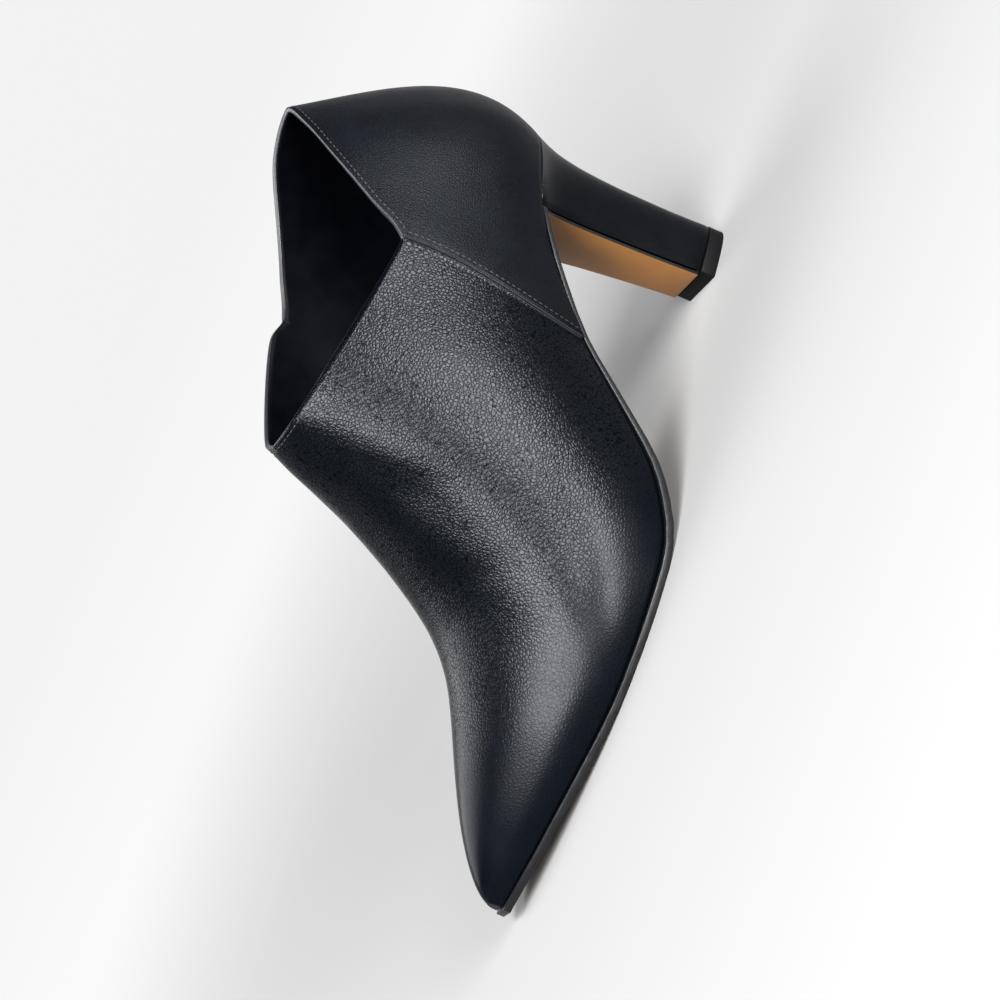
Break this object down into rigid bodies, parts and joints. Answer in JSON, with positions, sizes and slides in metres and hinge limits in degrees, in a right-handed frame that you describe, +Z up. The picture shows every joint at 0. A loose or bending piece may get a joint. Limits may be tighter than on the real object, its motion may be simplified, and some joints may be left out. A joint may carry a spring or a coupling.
{
  "type": "ankle shoe",
  "caption": "Pointed-toe ankle shoe for the left foot in pebbled black leather, with a deep notch on its outer side, a slim covered block heel and a thin leather sole.",
  "frame": {"origin": "centre of the shoe's footprint, on the floor it stands on", "axes": "+X to the toe, +Y to the outer side of the left foot, +Z up"},
  "size_m": [0.2532, 0.0776, 0.15],
  "materials": {
    "upper_leather": "black tumbled leather with a soft sheen",
    "sock_lining": "black sock leather, dull",
    "sole_leather": "tan sole leather, smooth, with a black edge",
    "heel_leather": "black leather wrapped round the heel",
    "lift_rubber": "black rubber, satin"
  },
  "bodies": {
    "root": {"upper": "upper_leather", "insole": "sock_lining", "outsole": "sole_leather", "heel": "heel_leather", "top_piece": "lift_rubber"}
  },
  "joints": []
}
